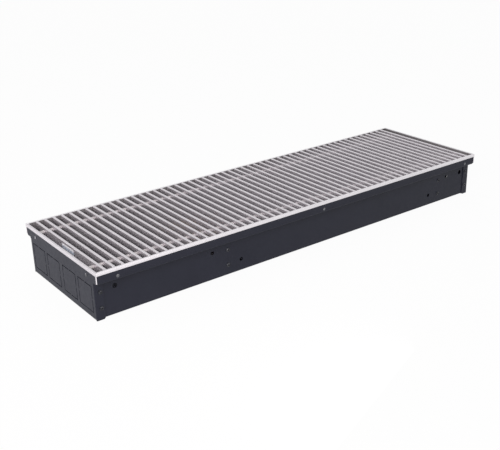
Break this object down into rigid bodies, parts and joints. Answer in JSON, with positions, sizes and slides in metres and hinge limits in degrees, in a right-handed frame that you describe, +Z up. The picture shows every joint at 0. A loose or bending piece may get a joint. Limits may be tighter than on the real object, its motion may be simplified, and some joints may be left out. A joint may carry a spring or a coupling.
{
  "type": "trench convector heater",
  "caption": "Floor trench convector: folded steel trough, aluminium edge frame, finned water coil on brackets and a lift-out grille of cross bars strung on rods.",
  "frame": {"origin": "bottom centre of the bounding box, on the surface that the heater stands on", "axes": "+X along the trough towards the end without pipe connections, +Y across it, +Z up through the grille"},
  "size_m": [1, 0.294, 0.1],
  "materials": {
    "black_steel": "satin anthracite paint",
    "frame_aluminium": "pale satin anodised",
    "bar_aluminium": "pale satin anodised",
    "zinc": "zinc plated",
    "dark_screw": "blackened steel",
    "fin_aluminium": "mill",
    "copper": "bare copper tube",
    "brass": "machined",
    "rubber": "matte black",
    "label": "blank white film"
  },
  "bodies": {
    "heater": {"trough_bottom": "black_steel", "trough_front": "black_steel", "trough_back": "black_steel", "end_cap_left": "black_steel", "end_cap_right": "black_steel", "frame_front": "frame_aluminium", "frame_back": "frame_aluminium", "frame_left": "frame_aluminium", "frame_right": "frame_aluminium", "corner_keys": "frame_aluminium", "frame_screws": "zinc", "cap_screws": "dark_screw", "cap_nuts": "zinc", "bracket_left": "zinc", "bracket_right": "zinc", "bracket_screws": "dark_screw", "bracket_nuts": "zinc", "fin_pack": "fin_aluminium", "coil_tubes": "copper", "return_bends_right": "copper", "return_bend_left": "copper", "supply_fitting": "brass", "return_fitting": "brass", "air_vent_body": "brass", "rubber_strip_front": "rubber", "rubber_strip_back": "rubber", "levelling_nuts": "zinc"},
    "grille": {"grille_bars": "bar_aluminium", "grille_spacers": "fin_aluminium", "grille_rods": "zinc", "rod_caps": "fin_aluminium", "blank_label": "label"},
    "air_vent": {"air_vent_screw": "brass"},
    "foot_front_left": {"levelling_pad_front_left": "rubber"},
    "foot_screw_front_left": {"levelling_screw_front_left": "zinc"},
    "foot_front_right": {"levelling_pad_front_right": "rubber"},
    "foot_screw_front_right": {"levelling_screw_front_right": "zinc"},
    "foot_back_left": {"levelling_pad_back_left": "rubber"},
    "foot_screw_back_left": {"levelling_screw_back_left": "zinc"},
    "foot_back_right": {"levelling_pad_back_right": "rubber"},
    "foot_screw_back_right": {"levelling_screw_back_right": "zinc"}
  },
  "joints": [
    {"name": "grille_lift", "type": "slide", "parent": "heater", "child": "grille", "axis": [0, 0, 1], "range_m": [0, 0.08]},
    {"name": "air_vent_turn", "type": "hinge", "parent": "heater", "child": "air_vent", "pos_m": [-0.273, 0.05, 0.0455], "axis": [0, 1, 0], "range_deg": [0, 180]},
    {"name": "foot_travel_front_left", "type": "slide", "parent": "heater", "child": "foot_front_left", "axis": [0, 0, -1], "range_m": [0, 0.02]},
    {"name": "foot_screw_turn_front_left", "type": "hinge", "parent": "foot_front_left", "child": "foot_screw_front_left", "pos_m": [-0.44, -0.115, 0.02], "axis": [0, 0, -1], "range_deg": [0, 5760]},
    {"name": "foot_travel_front_right", "type": "slide", "parent": "heater", "child": "foot_front_right", "axis": [0, 0, -1], "range_m": [0, 0.02]},
    {"name": "foot_screw_turn_front_right", "type": "hinge", "parent": "foot_front_right", "child": "foot_screw_front_right", "pos_m": [0.44, -0.115, 0.02], "axis": [0, 0, -1], "range_deg": [0, 5760]},
    {"name": "foot_travel_back_left", "type": "slide", "parent": "heater", "child": "foot_back_left", "axis": [0, 0, -1], "range_m": [0, 0.02]},
    {"name": "foot_screw_turn_back_left", "type": "hinge", "parent": "foot_back_left", "child": "foot_screw_back_left", "pos_m": [-0.44, 0.115, 0.02], "axis": [0, 0, -1], "range_deg": [0, 5760]},
    {"name": "foot_travel_back_right", "type": "slide", "parent": "heater", "child": "foot_back_right", "axis": [0, 0, -1], "range_m": [0, 0.02]},
    {"name": "foot_screw_turn_back_right", "type": "hinge", "parent": "foot_back_right", "child": "foot_screw_back_right", "pos_m": [0.44, 0.115, 0.02], "axis": [0, 0, -1], "range_deg": [0, 5760]}
  ],
  "couplings": [
    {"joint": "foot_travel_front_left", "follows": "foot_screw_turn_front_left", "m_per_rad": 0.00019894},
    {"joint": "foot_travel_front_right", "follows": "foot_screw_turn_front_right", "m_per_rad": 0.00019894},
    {"joint": "foot_travel_back_left", "follows": "foot_screw_turn_back_left", "m_per_rad": 0.00019894},
    {"joint": "foot_travel_back_right", "follows": "foot_screw_turn_back_right", "m_per_rad": 0.00019894}
  ]
}
